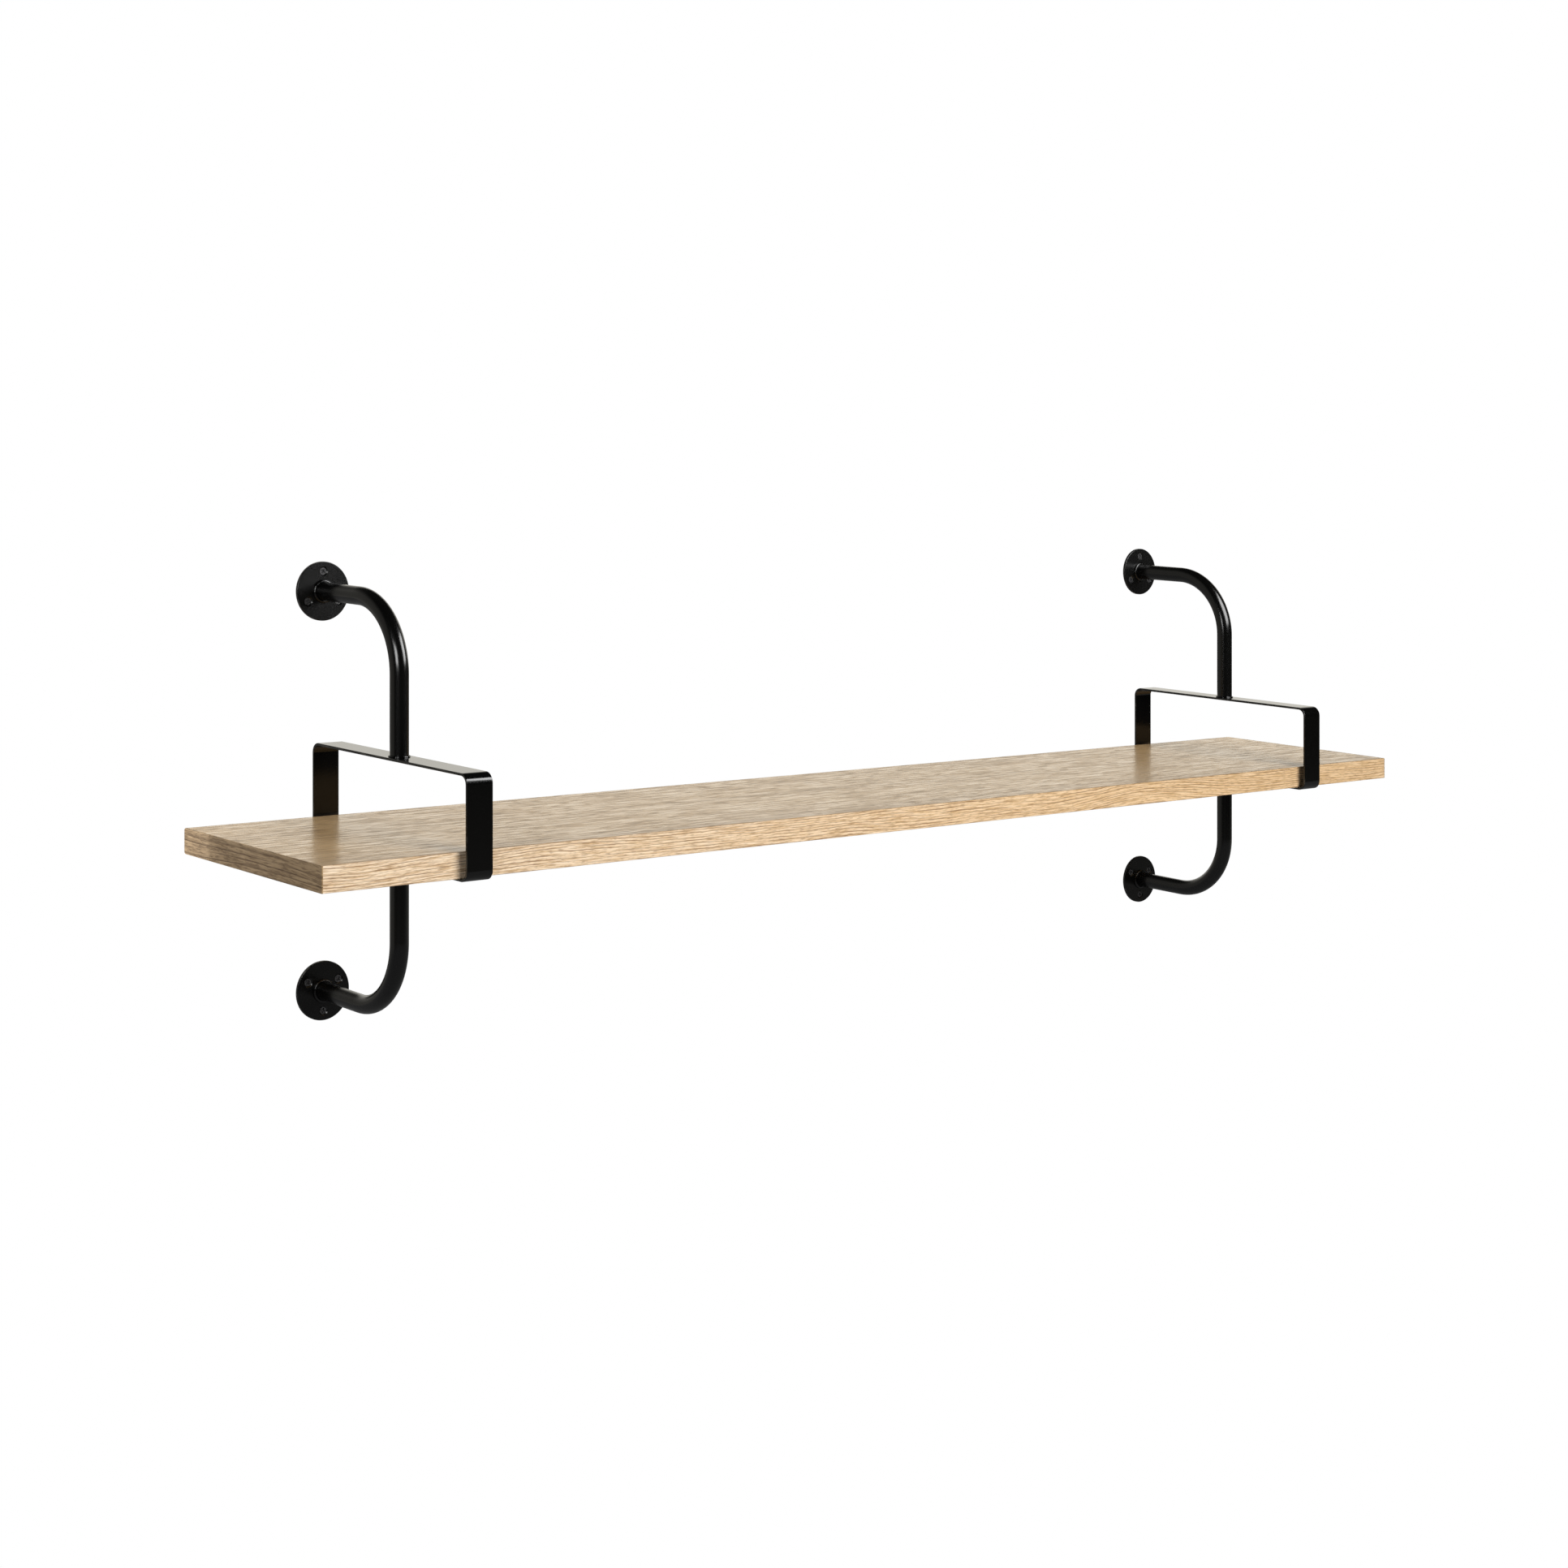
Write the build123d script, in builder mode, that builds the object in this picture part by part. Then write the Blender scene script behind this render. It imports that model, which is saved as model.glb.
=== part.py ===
from build123d import *
import os

# A wall shelf: an oak-faced board that lies in two black steel brackets.
# Millimetres, +X along the board, +Z up. The wall is the plane Y = 0 and the room is on its -Y side.
# The origin is on the wall, midway between the two brackets and midway between their flanges.

# Board
BOARD_LENGTH = 1500
BOARD_DEPTH = 250
CORE_THICKNESS = 22
VENEER_THICKNESS = 1.2
FRONT_BAND = 2
BACK_BAND = 3
END_BAND = 1.2
FRONT_ROUNDING = 0.8
BACK_ROUNDING = 2.5
END_ROUNDING = 0.4
WALL_GAP = 14.6  # clear space between the wall and the board's back edge

# Brackets
BRACKET_SPACING = 1188
FLANGE_SPACING = 391  # between the centres of a bracket's upper and lower flanges
FLANGE_DIAMETER = 58
FLANGE_THICKNESS = 3
FLANGE_ROUNDING = 0.6
TUBE_DIAMETER = 18
TUBE_WALL = 1.5
TUBE_STANDOFF = 141  # from the wall to the axis of the tube's upright stretch
TUBE_BEND = 70  # radius of the bend's centre line
STRAP_WIDTH = 28
STRAP_THICKNESS = 2.5
STRAP_DEPTH = 270
STRAP_HEIGHT = 98
STRAP_BEND = 10  # outside radius of the strap's four bends
STRAP_ROUNDING = 0.4

# Weld beads at the two ends of each tube
FLANGE_WELD = 3.2
STRAP_WELD = 1.8
WELD_BULGE = 1.5  # radius of a bead's rounded face, in legs of the bead

# Countersunk wall screws, evenly spaced round each flange
SCREWS_PER_FLANGE = 3
SCREW_CIRCLE = 39
FIRST_SCREW_ANGLE = 90  # straight up on an upper flange, straight down on a lower one
FLANGE_HOLE = 5
SINK_DIAMETER = 9.8
SINK_ANGLE = 90
SEAT_CLEARANCE = 0.1
WALL_SCREW_LENGTH = 40
WALL_SCREW_DIAMETER = 4.5
WALL_SCREW_NECK = 3.8
WALL_SCREW_HEAD = 8
WALL_SCREW_RIM = 0.4
WALL_SCREW_TIP = 6
NECK_REACH = 0.3  # how far the plain neck runs past the wall's face

# Pan-headed board screws, up through each strap into the board
BOARD_SCREW_SPACING = 150
BOARD_SCREW_LENGTH = 20
BOARD_SCREW_DIAMETER = 4
BOARD_SCREW_HEAD = 7.6
BOARD_SCREW_HEAD_HEIGHT = 2.4
BOARD_SCREW_HEAD_ROUNDING = 1.6
BOARD_SCREW_TIP = 5
BORE_CLEARANCE = 0.1

# Cross recess in every screw head
RECESS_SPAN = 4.4
RECESS_WIDTH = 1.1
RECESS_DEPTH = 1.5
RECESS_TAPER = 8

# Levels and edges of the board
board_thickness = CORE_THICKNESS + 2 * VENEER_THICKNESS
board_bottom = STRAP_THICKNESS - STRAP_HEIGHT / 2
board_middle = board_bottom + board_thickness / 2
core_bottom = board_bottom + VENEER_THICKNESS
core_top = core_bottom + CORE_THICKNESS
board_back = -WALL_GAP
board_front = board_back - BOARD_DEPTH
core_back = board_back - BACK_BAND
core_front = board_front + FRONT_BAND
core_length = BOARD_LENGTH - 2 * END_BAND

# Places of the brackets, their arms and the board screws
bracket_places = {"left": -BRACKET_SPACING / 2, "right": BRACKET_SPACING / 2}
arm_ways = {"upper": 1, "lower": -1}
board_screw_depths = [-TUBE_STANDOFF + way * BOARD_SCREW_SPACING / 2 for way in (-1, 1)]
board_screw_places = [(x, y) for x in bracket_places.values() for y in board_screw_depths]
board_screw_bore = BOARD_SCREW_DIAMETER / 2 + BORE_CLEARANCE
board_screw_bite = BOARD_SCREW_LENGTH - STRAP_THICKNESS - VENEER_THICKNESS + BORE_CLEARANCE

# How far a wall screw's head lies below its flange's face, and where its neck ends
head_sink = (SINK_DIAMETER - WALL_SCREW_HEAD) / 2 - WALL_SCREW_RIM - SEAT_CLEARANCE
neck_end = FLANGE_THICKNESS - head_sink + NECK_REACH

os.makedirs("parts", exist_ok=True)


def save(piece, name):
    """Label a finished piece and write it to its own file."""
    piece.part.label = name
    export_step(piece.part, f"parts/{name}.step")


def board_layer(name, bottom, thickness, bore_depth):
    """One flat layer of the board, bored from below for the board screws if bore_depth isn't 0."""
    with BuildPart() as layer:
        with BuildSketch(Plane.XY.offset(bottom)):
            with Locations((0, (core_back + core_front) / 2)):
                Rectangle(core_length, core_back - core_front)
        extrude(amount=thickness)
        if bore_depth:
            with BuildSketch(Plane.XY.offset(bottom)):
                with Locations(*board_screw_places):
                    Circle(board_screw_bore)
            extrude(amount=bore_depth, mode=Mode.SUBTRACT)
    save(layer, name)


def edge_band(name, inner, outer, rounding):
    """A strip along one long edge of the board, rounded on its outer corners."""
    with BuildPart() as band:
        with BuildSketch(Plane.YZ.offset(-core_length / 2)) as section:
            with Locations(((inner + outer) / 2, board_middle)):
                Rectangle(abs(outer - inner), board_thickness)
            fillet(section.vertices().sort_by_distance((outer, board_middle))[:2], rounding)
        extrude(amount=core_length)
    save(band, name)


def end_band(name, inner, way):
    """A strip over one short end, which covers the layers and both long bands."""
    with BuildPart() as band:
        with BuildSketch(Plane.YZ.offset(inner)) as section:
            with Locations(((board_back + board_front) / 2, board_middle)):
                Rectangle(BOARD_DEPTH, board_thickness)
            fillet(section.vertices().group_by(Axis.X)[-1], BACK_ROUNDING)
            fillet(section.vertices().group_by(Axis.X)[0], FRONT_ROUNDING)
        extrude(amount=way * END_BAND)
        outer_face = band.faces().filter_by(Axis.X).sort_by(Axis.X, reverse=way > 0)[0]
        fillet(outer_face.edges(), END_ROUNDING)
    save(band, name)


def strap_loop(name, x):
    """A flat strip bent into a closed loop, drilled underneath for the board screws."""
    with BuildPart() as loop:
        with BuildSketch(Plane.YZ.offset(x)):
            with Locations((-TUBE_STANDOFF, 0)):
                RectangleRounded(STRAP_DEPTH, STRAP_HEIGHT, STRAP_BEND)
                RectangleRounded(
                    STRAP_DEPTH - 2 * STRAP_THICKNESS,
                    STRAP_HEIGHT - 2 * STRAP_THICKNESS,
                    STRAP_BEND - STRAP_THICKNESS,
                    mode=Mode.SUBTRACT,
                )
        extrude(amount=STRAP_WIDTH / 2, both=True)
        fillet(loop.faces().filter_by(Axis.X).edges(), STRAP_ROUNDING)
        with BuildSketch(Plane.XY.offset(-STRAP_HEIGHT / 2)):
            with Locations(*[(x, y) for y in board_screw_depths]):
                Circle(board_screw_bore)
        extrude(amount=STRAP_THICKNESS, mode=Mode.SUBTRACT)
    save(loop, name)


def flange_front(x, way):
    """The plane of a flange's room-side face, with its normal pointing into the room."""
    return Plane((x, -FLANGE_THICKNESS, way * FLANGE_SPACING / 2), x_dir=(1, 0, 0), z_dir=(0, -1, 0))


def flange(name, x, way):
    """A round wall plate with countersunk holes, one of them farthest from the board."""
    front = flange_front(x, way)
    with BuildPart() as plate:
        with BuildSketch(front):
            Circle(FLANGE_DIAMETER / 2)
        extrude(amount=-FLANGE_THICKNESS)
        fillet(plate.edges().sort_by(Axis.Y)[0], FLANGE_ROUNDING)
        with Locations(front.location):
            with PolarLocations(SCREW_CIRCLE / 2, SCREWS_PER_FLANGE, start_angle=way * FIRST_SCREW_ANGLE):
                CounterSinkHole(
                    FLANGE_HOLE / 2,
                    SINK_DIAMETER / 2,
                    depth=FLANGE_THICKNESS,
                    counter_sink_angle=SINK_ANGLE,
                )
    save(plate, name)


def bent_tube(name, x, way):
    """A tube that stands out from its flange, bends a quarter turn and meets the strap."""
    level = way * FLANGE_SPACING / 2
    with BuildPart() as tube:
        with BuildLine(Plane.YZ.offset(x)):
            FilletPolyline(
                (-FLANGE_THICKNESS, level),
                (-TUBE_STANDOFF, level),
                (-TUBE_STANDOFF, way * STRAP_HEIGHT / 2),
                radius=TUBE_BEND,
            )
        with BuildSketch(flange_front(x, way)):
            Circle(TUBE_DIAMETER / 2)
            Circle(TUBE_DIAMETER / 2 - TUBE_WALL, mode=Mode.SUBTRACT)
        sweep()
    save(tube, name)


def weld_bead(name, seat, along, leg):
    """A ring of weld round a tube that stands on a plate at seat and runs in the direction along."""
    tube_radius = TUBE_DIAMETER / 2
    section_plane = Plane(seat, x_dir=(1, 0, 0), z_dir=Vector(1, 0, 0).cross(Vector(along)))
    with BuildPart() as bead:
        with BuildSketch(section_plane):
            with BuildLine():
                Line((tube_radius, leg), (tube_radius, 0))
                Line((tube_radius, 0), (tube_radius + leg, 0))
                RadiusArc((tube_radius + leg, 0), (tube_radius, leg), -WELD_BULGE * leg)
            make_face()
        revolve(axis=Axis(seat, along))
    save(bead, name)


def wall_screw_group(name, x, way):
    """The screws of one flange, seated in its countersinks."""
    with BuildPart() as group:
        with Locations(flange_front(x, way).offset(-head_sink).location):
            with PolarLocations(SCREW_CIRCLE / 2, SCREWS_PER_FLANGE, start_angle=way * FIRST_SCREW_ANGLE):
                add(wall_screw.part)
    save(group, name)


def board_screw_group(name, x):
    """The screws that hold the board down on one strap."""
    under_strap = Plane((x, 0, -STRAP_HEIGHT / 2), x_dir=(1, 0, 0), z_dir=(0, 0, -1))
    with BuildPart() as group:
        with Locations(under_strap.location):
            with Locations(*[(0, -y) for y in board_screw_depths]):
                add(board_screw.part)
    save(group, name)


# The cutter for a cross recess, with its mouth on the XY plane
with BuildPart() as recess_cutter:
    with BuildSketch():
        Rectangle(RECESS_SPAN, RECESS_WIDTH)
        Rectangle(RECESS_WIDTH, RECESS_SPAN)
    extrude(amount=-RECESS_DEPTH, taper=RECESS_TAPER)

# One wall screw, with its head's top at the origin and its point down the -Z axis
with BuildPart() as wall_screw:
    with BuildSketch(Plane.XZ):
        with BuildLine():
            Polyline(
                (0, 0),
                (WALL_SCREW_HEAD / 2, 0),
                (WALL_SCREW_HEAD / 2, -WALL_SCREW_RIM),
                (WALL_SCREW_NECK / 2, -WALL_SCREW_RIM - (WALL_SCREW_HEAD - WALL_SCREW_NECK) / 2),
                (WALL_SCREW_NECK / 2, -neck_end),
                (WALL_SCREW_DIAMETER / 2, -neck_end),
                (WALL_SCREW_DIAMETER / 2, WALL_SCREW_TIP - WALL_SCREW_LENGTH),
                (0, -WALL_SCREW_LENGTH),
                close=True,
            )
        make_face()
    revolve(axis=Axis.Z)
    add(recess_cutter.part, mode=Mode.SUBTRACT)

# One board screw, with the underside of its head at the origin and its point down the -Z axis
with BuildPart() as board_screw:
    with BuildSketch(Plane.XZ):
        with BuildLine():
            Polyline(
                (0, BOARD_SCREW_HEAD_HEIGHT),
                (BOARD_SCREW_HEAD / 2, BOARD_SCREW_HEAD_HEIGHT),
                (BOARD_SCREW_HEAD / 2, 0),
                (BOARD_SCREW_DIAMETER / 2, 0),
                (BOARD_SCREW_DIAMETER / 2, BOARD_SCREW_TIP - BOARD_SCREW_LENGTH),
                (0, -BOARD_SCREW_LENGTH),
                close=True,
            )
        make_face()
    revolve(axis=Axis.Z)
    fillet(board_screw.edges().sort_by(Axis.Z)[-1], BOARD_SCREW_HEAD_ROUNDING)
    with Locations((0, 0, BOARD_SCREW_HEAD_HEIGHT)):
        add(recess_cutter.part, mode=Mode.SUBTRACT)

# The board: a core between two veneers, closed by a strip on each edge
board_layer("board_core", core_bottom, CORE_THICKNESS, board_screw_bite)
board_layer("top_veneer", core_top, VENEER_THICKNESS, 0)
board_layer("bottom_veneer", board_bottom, VENEER_THICKNESS, VENEER_THICKNESS)
edge_band("front_edge_band", core_front, board_front, FRONT_ROUNDING)
edge_band("back_edge_band", core_back, board_back, BACK_ROUNDING)
end_band("left_end_band", -core_length / 2, -1)
end_band("right_end_band", core_length / 2, 1)

# Two brackets, each a strap loop with an upper and a lower arm
for side, x in bracket_places.items():
    strap_loop(f"{side}_strap_loop", x)
    board_screw_group(f"{side}_board_screws", x)
    for arm, way in arm_ways.items():
        flange(f"{side}_{arm}_flange", x, way)
        bent_tube(f"{side}_{arm}_tube", x, way)
        wall_screw_group(f"{side}_{arm}_wall_screws", x, way)
        weld_bead(f"{side}_{arm}_flange_weld", flange_front(x, way).origin, (0, -1, 0), FLANGE_WELD)
        tube_foot = (x, -TUBE_STANDOFF, way * STRAP_HEIGHT / 2)
        weld_bead(f"{side}_{arm}_strap_weld", tube_foot, (0, 0, way), STRAP_WELD)
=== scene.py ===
# %% [markdown]
# # A wall shelf on two black brackets
# The real shelf is an oak-faced board that lies in two loops of flat steel strap. Above and below each
# loop a bent tube runs back to a round plate, and the plates are screwed to the wall. The CAD model
# already has every piece in its place, so it is loaded first and kept as a fixed frame. The lesson then
# adds what CAD leaves out: finishes, screw threads, weld ripples, light and a camera.

import math

import bpy
from mathutils import Matrix, Vector


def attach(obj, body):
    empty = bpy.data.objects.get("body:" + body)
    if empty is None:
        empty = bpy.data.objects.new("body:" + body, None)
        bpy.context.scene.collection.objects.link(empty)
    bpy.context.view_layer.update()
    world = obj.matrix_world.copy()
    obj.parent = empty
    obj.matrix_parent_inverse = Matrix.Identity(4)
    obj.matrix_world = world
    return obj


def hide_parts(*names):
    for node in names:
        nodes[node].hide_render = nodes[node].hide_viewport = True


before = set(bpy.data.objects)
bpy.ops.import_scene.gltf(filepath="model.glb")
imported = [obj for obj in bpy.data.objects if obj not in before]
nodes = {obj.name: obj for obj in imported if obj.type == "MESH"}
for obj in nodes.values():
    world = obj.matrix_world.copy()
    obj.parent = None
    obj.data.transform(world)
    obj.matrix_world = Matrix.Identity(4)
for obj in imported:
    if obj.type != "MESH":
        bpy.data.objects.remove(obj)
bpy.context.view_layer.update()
scene = bpy.context.scene

# %% [markdown]
# ## The camera
# In the photograph the uprights of the brackets stay parallel, as they do when a lens is shifted down
# instead of the camera being tilted. So the camera here looks straight ahead and shifts its picture.
# Level lines also lean by a small even amount. No plain camera does that, so the camera hangs from an
# empty that slants its sideways axis.

# %% Camera
PHOTO_SIDE = 1932
FOCAL_PIXELS = 3242.06
HORIZON_ROW = 526.4
EYE = Vector((-1.92339, -2.25433, 0.36754))
TURN = 0.706627
LEAN = 0.025636

sideways = Vector((math.cos(TURN), -math.sin(TURN), 0))
upwards = Vector((0, 0, 1))
ahead = Vector((math.sin(TURN), math.cos(TURN), 0))


def camera_stance(across):
    """A camera matrix at the eye, with the given vector as its sideways axis."""
    return Matrix.Translation(EYE) @ Matrix((across, upwards, -ahead)).transposed().to_4x4()


lens = bpy.data.cameras.new("photo_camera")
lens.sensor_width = 36
lens.lens = lens.sensor_width * FOCAL_PIXELS / PHOTO_SIDE
lens.shift_y = HORIZON_ROW / PHOTO_SIDE - 0.5
camera = bpy.data.objects.new("photo_camera", lens)
slant = bpy.data.objects.new("camera_slant", None)
for thing in (camera, slant):
    scene.collection.objects.link(thing)
camera.parent = slant
camera.matrix_parent_inverse = camera_stance(sideways + LEAN * upwards) @ camera_stance(sideways).inverted()
camera.matrix_basis = camera_stance(sideways)
scene.camera = camera
print("lens", round(lens.lens, 2), "mm, shifted by", round(lens.shift_y, 4))

# %% [markdown]
# ## Writing node trees as arithmetic
# A finish is a tree of nodes, and most of its nodes only add, multiply or blend numbers. Two small
# classes make that readable. A Tone wraps one socket, and an expression such as 1 - tone * 0.2 adds the
# Math nodes it needs. A Tree makes any other node from its type, its settings and the values or links of
# its sockets. Both serve materials and Geometry Nodes alike.


# %% Tones
class Tone:
    """One output socket, which can be used in plain arithmetic."""

    def __init__(self, tree, socket):
        self.tree = tree
        self.socket = socket

    def work(self, operation, first, second=0.0):
        return self.tree.node("ShaderNodeMath", {"operation": operation}, {0: first, 1: second})

    def __add__(self, other):
        return self.work("ADD", self, other)

    def __sub__(self, other):
        return self.work("SUBTRACT", self, other)

    def __rsub__(self, other):
        return self.work("SUBTRACT", other, self)

    def __mul__(self, other):
        return self.work("MULTIPLY", self, other)

    def __truediv__(self, other):
        return self.work("DIVIDE", self, other)

    def __rtruediv__(self, other):
        return self.work("DIVIDE", other, self)

    def __pow__(self, other):
        return self.work("POWER", self, other)

    def __mod__(self, other):
        return self.work("FLOORED_MODULO", self, other)

    def __abs__(self):
        return self.work("ABSOLUTE", self)

    def __gt__(self, other):
        return self.work("GREATER_THAN", self, other)

    __radd__ = __add__
    __rmul__ = __mul__

    def sine(self):
        return self.work("SINE", self)

    def cosine(self):
        return self.work("COSINE", self)

    def floor(self):
        return self.work("FLOOR", self)

    def at_least(self, other):
        return self.work("MAXIMUM", self, other)

    def at_most(self, other):
        return self.work("MINIMUM", self, other)

    def ease(self, low, high):
        """0 below low, 1 above high, and a smooth rise in between."""
        ends = {"Value": self, "From Min": low, "From Max": high}
        return self.tree.node("ShaderNodeMapRange", {"interpolation_type": "SMOOTHSTEP"}, ends)


# %% [markdown]
# The Tree comes next. Its node method is the only place where nodes are made, so every socket is set in the
# same way. The other methods are short names for what most finishes need: a blend of two colours, the place
# of a point, clouds and a relief.


# %% Trees
class Tree:
    """A node tree that is filled one node at a time."""

    def __init__(self, node_tree):
        self.nodes = node_tree.nodes
        self.links = node_tree.links
        self.nodes.clear()

    def node(self, kind, settings=None, sockets=None, out=0):
        """Any node: its settings are set first, then its sockets get values or links."""
        made = self.nodes.new(kind)
        for name, value in (settings or {}).items():
            setattr(made, name, value)
        known = {socket.identifier: socket for socket in made.inputs}
        for name, value in (sockets or {}).items():
            socket = known.get(name) or made.inputs[name]
            if isinstance(value, (Tone, list)):
                for tone in value if isinstance(value, list) else [value]:
                    self.links.new(tone.socket, socket)
            elif value is not None:
                socket.default_value = value
        return Tone(self, made.outputs[out]) if made.outputs else made

    def blend(self, share, first, second):
        """A colour that goes from first to second as share goes from 0 to 1."""
        first, second = [(*c, 1.0) if isinstance(c, tuple) else c for c in (first, second)]
        sockets = {"Factor_Float": share, "A_Color": first, "B_Color": second}
        colour_output = 2
        return self.node("ShaderNodeMix", {"data_type": "RGBA"}, sockets, colour_output)

    def place(self):
        """The three Object coordinates of the surface, in metres."""
        return self.parts(self.node("ShaderNodeTexCoord", out="Object"))

    def parts(self, vector, axes="XYZ"):
        """The numbers that a vector is made of."""
        return [self.node("ShaderNodeSeparateXYZ", None, {"Vector": vector}, out=axis) for axis in axes]

    def vector(self, x, y, z):
        """The opposite: three numbers as one vector."""
        return self.node("ShaderNodeCombineXYZ", None, {"X": x, "Y": y, "Z": z})

    def clouds(self, x, y, z, detail=2.0, roughness=0.5):
        """Smooth noise between 0 and 1, one blob for each unit of x, y and z."""
        sockets = {"Vector": self.vector(x, y, z), "Scale": 1.0, "Detail": detail, "Roughness": roughness}
        return self.node("ShaderNodeTexNoise", {"noise_dimensions": "3D"}, sockets)

    def grit(self, place, per_metre, detail):
        """Clouds that are as long as they are wide, so many to the metre."""
        return self.clouds(*[side * per_metre for side in place], detail)

    def relief(self, height, depth):
        """A bumped normal from a height between 0 and 1, which stands for depth in metres."""
        return self.node("ShaderNodeBump", None, {"Strength": 1.0, "Distance": depth, "Height": height})


def new_finish(name):
    """An empty material and the tree to fill."""
    material = bpy.data.materials.new(name)
    material.use_nodes = True
    return material, Tree(material.node_tree)


def close_finish(tree, **sockets):
    """Ends a material in one Principled shader with these sockets."""
    named = {name.replace("_", " "): value for name, value in sockets.items()}
    shader = tree.node("ShaderNodeBsdfPrincipled", None, named)
    tree.node("ShaderNodeOutputMaterial", None, {"Surface": shader})


print("tones and trees are ready")

# %% [markdown]
# ## The studio
# The shelf hangs on a white wall, and its lacquer and straps mirror that wall at a low angle. A real wall
# of light would do it, but it would also flood the room. The world can play the part instead, because it
# is asked for a colour by direction and by kind of ray. The camera sees plain white. Mirrors see a warm
# white wall behind the shelf, as a low bright band towards the right and a broad dim one towards the
# left. Past the edge of the paper floor that is laid below, they see more pale floor, and in front a dark
# room, so that black paint stays black. As light the world is dim, and a little brighter from the wall.

# %% World
AMBIENT = 0.05
WALL_LIGHT = 0.15
LIT_WALL = 1.0
SHADED_WALL = 0.28
ROOM_IN_MIRRORS = 0.015
FLOOR_IN_MIRRORS = 0.45
PLAIN_WHITE = (1.0, 1.0, 1.0)
WARM_WHITE = (1.0, 0.97, 0.88)


def camera_and_mirrors(tree):
    """Two tones: 1 for what the camera sees itself, and 1 for what it sees in or through another piece."""
    kinds = ("Is Camera Ray", "Is Glossy Ray", "Is Transmission Ray")
    seen, glossy, through = [tree.node("ShaderNodeLightPath", out=kind) for kind in kinds]
    return seen, glossy.at_least(through)


def band(height, lower_edge, upper_edge):
    """1 between two soft edges, and 0 below and above them."""
    return height.ease(*lower_edge) * (1.0 - height.ease(*upper_edge))


world = bpy.data.worlds.new("white_studio")
world.use_nodes = True
scene.world = world
sky = Tree(world.node_tree)
seen, mirrored = camera_and_mirrors(sky)
right, inward, up = sky.parts(sky.node("ShaderNodeTexCoord", out="Generated"))
behind = inward.ease(-0.05, 0.25)
low_band = band(up, lower_edge=(-0.06, 0.05), upper_edge=(0.32, 0.55))
broad_band = band(up, lower_edge=(-0.75, -0.25), upper_edge=(0.45, 0.85))
to_right = right.ease(-0.5, 0.25)
wall_in_mirrors = behind * (LIT_WALL * to_right * low_band + SHADED_WALL * (1.0 - to_right) * broad_band)
below = 1.0 - up.ease(-0.26, -0.10)
floor_in_mirrors = below * FLOOR_IN_MIRRORS * (0.3 + right.ease(0.5, 0.95))
as_mirror = mirrored * (ROOM_IN_MIRRORS + wall_in_mirrors + floor_in_mirrors)
as_light = (1.0 - mirrored) * (AMBIENT + WALL_LIGHT * behind)
strength = seen.at_least(as_mirror + as_light)
colour = sky.blend(mirrored, PLAIN_WHITE, WARM_WHITE)
background = sky.node("ShaderNodeBackground", None, {"Color": colour, "Strength": strength})
sky.node("ShaderNodeOutputWorld", None, {"Surface": background})
scene.view_settings.view_transform = "Standard"
print("world is white to the camera and", AMBIENT, "as ambient light")

# %% [markdown]
# Plain softboxes would both light the shelf and shine in its paint. Here the shadows of the straps and
# the streaks on the bent tubes ask for different places, so each lamp does one of the two jobs. Five
# lamps only light: a key lamp far in front, a weak fill on the left, and three glows in the wall's plane
# that throw the wall's own light on the back edge and the ends of the board. Two streak lamps are only
# seen in mirrors, as the two bright streaks on each tube.

# %% Lamps
BOARD_MIDDLE = (0, -0.14, 0)
WALL_FACE = 0.001
LEFT_PLACE = (-1.36, -0.72, 0.42)
LEFT_SIZE = {"width": 0.45, "height": 0.38}
BESIDE_BOARD = 0.83


def softbox(name, place, aim, width, height, power):
    """A soft rectangular lamp that no camera sees."""
    lamp = bpy.data.lights.new(name, "AREA")
    lamp.shape = "RECTANGLE"
    lamp.size, lamp.size_y, lamp.energy = width, height, power
    holder = bpy.data.objects.new(name, lamp)
    holder.location = place
    holder.rotation_mode = "QUATERNION"
    holder.rotation_quaternion = (Vector(aim) - Vector(place)).to_track_quat("-Z", "Y")
    holder.visible_camera = False
    scene.collection.objects.link(holder)
    return holder


def glow(name, x, z, width, height, power):
    """A softbox that lies in the wall's plane and faces the room."""
    return softbox(name, (x, WALL_FACE, z), (x, -1, z), width, height, power)


key = softbox("key", (0.15, -2.6, 1.0), BOARD_MIDDLE, width=1.7, height=1.0, power=76)
left_fill = softbox("left_fill", LEFT_PLACE, BOARD_MIDDLE, power=2.4, **LEFT_SIZE)
wall_glow = glow("wall_glow", 0, 0.05, width=1.9, height=1.3, power=7)
left_glow = glow("left_end_glow", -BESIDE_BOARD, -0.03, width=0.14, height=0.3, power=0.2)
right_glow = glow("right_end_glow", BESIDE_BOARD, -0.03, width=0.14, height=0.3, power=0.2)
for lamp in (key, left_fill, wall_glow, left_glow, right_glow):
    lamp.visible_glossy = False
right_streak = softbox("right_streak", (0.75, -1.15, 0.85), BOARD_MIDDLE, width=1.0, height=1.0, power=36)
left_streak = softbox("left_streak", LEFT_PLACE, (-0.6, -0.14, 0.1), power=6, **LEFT_SIZE)
for lamp in (right_streak, left_streak):
    lamp.visible_diffuse = False

# %% [markdown]
# The floor is far below the shelf, as under a real one. Close to the shelf it is paper that takes a
# shadow, and farther out it fades, for the camera alone, into the white of the background. Lit paper would
# look patchy in black paint, so mirrors see an even pale grey instead.

# %% Floor
FLOOR_LEVEL = -1.6
STAGE_REACH = 6.0
WHITE_NEAR_BY = 0.55
PAPER_IN_MIRRORS = 0.2


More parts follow.
